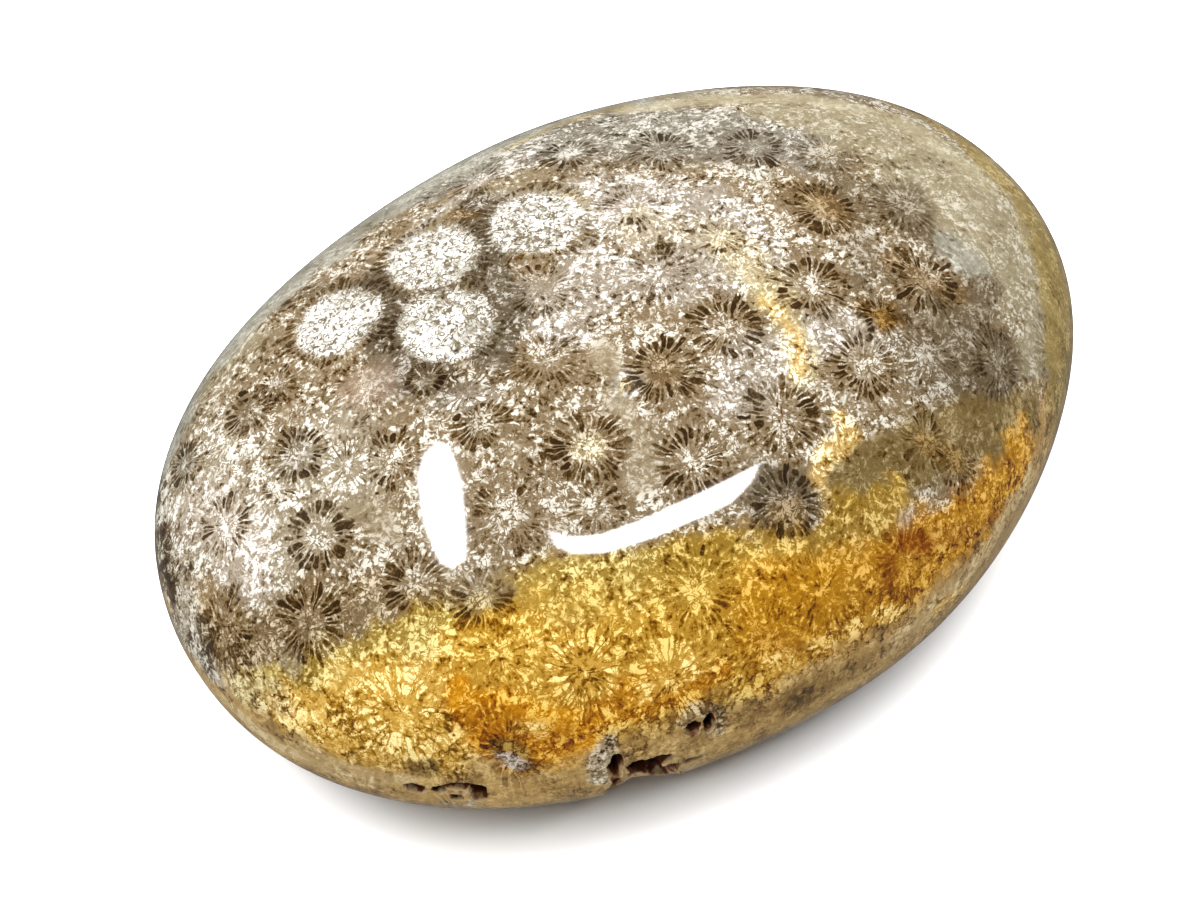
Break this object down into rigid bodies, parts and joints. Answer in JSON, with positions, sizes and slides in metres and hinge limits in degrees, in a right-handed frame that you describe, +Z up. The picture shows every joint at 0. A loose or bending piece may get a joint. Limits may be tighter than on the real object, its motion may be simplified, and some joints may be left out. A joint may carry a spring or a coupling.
{
  "type": "polished fossil coral head",
  "caption": "Oval palm stone ground and polished from an agatised fossil coral head, with a domed top, a flat resting face, a broken notch and small open pits.",
  "frame": {"origin": "middle of the bounding box, on the resting plane", "axes": "+X along the stone's length, +Y across it away from the notch, +Z up through the domed top"},
  "size_m": [0.072, 0.0506, 0.027],
  "materials": {
    "polished agatised coral": "high polish, rough only in the notch and pits"
  },
  "bodies": {
    "root": {"coral_head": "polished agatised coral"}
  },
  "joints": []
}
